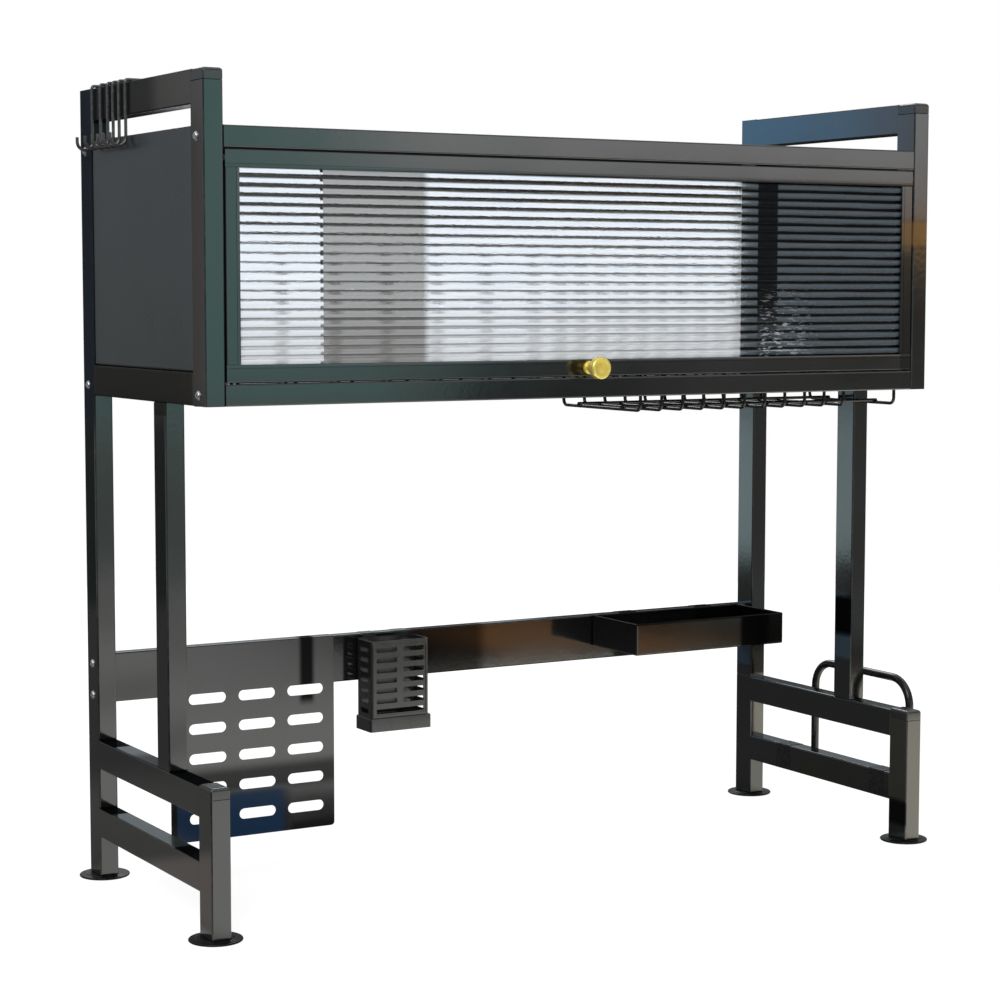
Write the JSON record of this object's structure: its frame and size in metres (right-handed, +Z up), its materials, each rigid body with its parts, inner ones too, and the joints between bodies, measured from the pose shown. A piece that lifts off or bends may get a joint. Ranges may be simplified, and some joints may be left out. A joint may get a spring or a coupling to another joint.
{
  "type": "over-sink dish drainer",
  "caption": "Over-sink dish drainer: two tube side frames carry a cabinet with a flip-up reeded door, wire racks, and hang-on board, basket, tray and hooks.",
  "frame": {"origin": "on the surface that the feet stand on, midway between the side frames and midway between the cabinet's front and the rear posts", "axes": "+X to the right seen from the front, +Y from the door to the back, +Z up"},
  "size_m": [0.9014, 0.3543, 0.8155],
  "materials": {
    "painted_tube": "black semi-gloss powder coat on steel tube",
    "painted_sheet": "black satin powder coat on steel sheet",
    "door_frame": "black semi-gloss coated aluminium profile",
    "reeded_acrylic": "clear acrylic with half-round reeds",
    "brass": "polished yellow brass",
    "zinc_screw": "zinc-plated steel",
    "coated_wire": "black coated steel wire",
    "moulded_plastic": "black moulded plastic",
    "foot_rubber": "black matt rubber",
    "pivot_nylon": "black nylon"
  },
  "bodies": {
    "frame": {"left_base_rear_leg": "painted_tube", "left_base_front_leg": "painted_tube", "left_base_lower_rail": "painted_tube", "left_base_upper_rail": "painted_tube", "left_rear_post": "painted_tube", "left_mid_post": "painted_tube", "left_front_post": "painted_tube", "left_handle_bar": "painted_tube", "left_bottom_bar": "painted_tube", "left_rear_spigot": "painted_tube", "left_mid_spigot": "painted_tube", "right_base_rear_leg": "painted_tube", "right_base_front_leg": "painted_tube", "right_base_lower_rail": "painted_tube", "right_base_upper_rail": "painted_tube", "right_rear_post": "painted_tube", "right_mid_post": "painted_tube", "right_front_post": "painted_tube", "right_handle_bar": "painted_tube", "right_bottom_bar": "painted_tube", "right_rear_spigot": "painted_tube", "right_mid_spigot": "painted_tube", "front_top_rail": "painted_tube", "front_bottom_rail": "painted_tube", "rear_top_rail": "painted_tube", "rear_bottom_rail": "painted_tube", "back_crossbar": "painted_tube", "left_side_panel": "painted_sheet", "right_side_panel": "painted_sheet", "top_panel": "painted_sheet", "left_base_leg_cap": "moulded_plastic", "left_front_post_cap": "moulded_plastic", "right_base_leg_cap": "moulded_plastic", "right_front_post_cap": "moulded_plastic", "left_rear_foot": "foot_rubber", "left_front_foot": "foot_rubber", "right_rear_foot": "foot_rubber", "right_front_foot": "foot_rubber", "left_door_pivot": "pivot_nylon", "right_door_pivot": "pivot_nylon", "door_catch": "moulded_plastic"},
    "door": {"door_bottom_rail": "door_frame", "door_top_rail": "door_frame", "door_left_stile": "door_frame", "door_right_stile": "door_frame", "reeded_panel": "reeded_acrylic", "door_knob": "brass", "knob_screw": "zinc_screw"},
    "bowl_rack": {"bowl_rack": "coated_wire"},
    "plate_rack": {"plate_rack": "coated_wire"},
    "perforated_board": {"perforated_board": "painted_sheet"},
    "cutlery_basket": {"cutlery_basket": "moulded_plastic"},
    "tray": {"tray": "painted_sheet"},
    "board_holder": {"board_holder": "coated_wire"},
    "utensil_hook_1": {"utensil_hook_1": "coated_wire"},
    "utensil_hook_2": {"utensil_hook_2": "coated_wire"},
    "utensil_hook_3": {"utensil_hook_3": "coated_wire"},
    "utensil_hook_4": {"utensil_hook_4": "coated_wire"},
    "utensil_hook_5": {"utensil_hook_5": "coated_wire"},
    "utensil_hook_6": {"utensil_hook_6": "coated_wire"}
  },
  "joints": [
    {"name": "door_hinge", "type": "hinge", "parent": "frame", "child": "door", "pos_m": [0, -0.1555, 0.7305], "axis": [-1, 0, 0], "range_deg": [0, 90]},
    {"name": "bowl_rack_lift", "type": "slide", "parent": "frame", "child": "bowl_rack", "axis": [0, 0, 1], "range_m": [0, 0.1]},
    {"name": "plate_rack_lift", "type": "slide", "parent": "frame", "child": "plate_rack", "axis": [0, 0, 1], "range_m": [0, 0.1]},
    {"name": "board_slide", "type": "slide", "parent": "frame", "child": "perforated_board", "axis": [1, 0, 0], "range_m": [-0.06, 0.0115]},
    {"name": "basket_slide", "type": "slide", "parent": "frame", "child": "cutlery_basket", "axis": [1, 0, 0], "range_m": [-0.0115, 0.115]},
    {"name": "tray_slide", "type": "slide", "parent": "frame", "child": "tray", "axis": [1, 0, 0], "range_m": [-0.115, 0.015]},
    {"name": "holder_slide", "type": "slide", "parent": "frame", "child": "board_holder", "axis": [0, 1, 0], "range_m": [-0.0095, 0.053]},
    {"name": "hook_1_slide", "type": "slide", "parent": "frame", "child": "utensil_hook_1", "axis": [0, 1, 0], "range_m": [-0.0095, 0.009]},
    {"name": "hook_2_slide", "type": "slide", "parent": "frame", "child": "utensil_hook_2", "axis": [0, 1, 0], "range_m": [-0.008, 0.0095]},
    {"name": "hook_3_slide", "type": "slide", "parent": "frame", "child": "utensil_hook_3", "axis": [0, 1, 0], "range_m": [-0.0055, 0.008]},
    {"name": "hook_4_slide", "type": "slide", "parent": "frame", "child": "utensil_hook_4", "axis": [0, 1, 0], "range_m": [-0.006, 0.0055]},
    {"name": "hook_5_slide", "type": "slide", "parent": "frame", "child": "utensil_hook_5", "axis": [0, 1, 0], "range_m": [-0.007, 0.006]},
    {"name": "hook_6_slide", "type": "slide", "parent": "frame", "child": "utensil_hook_6", "axis": [0, 1, 0], "range_m": [-0.152, 0.007]}
  ]
}
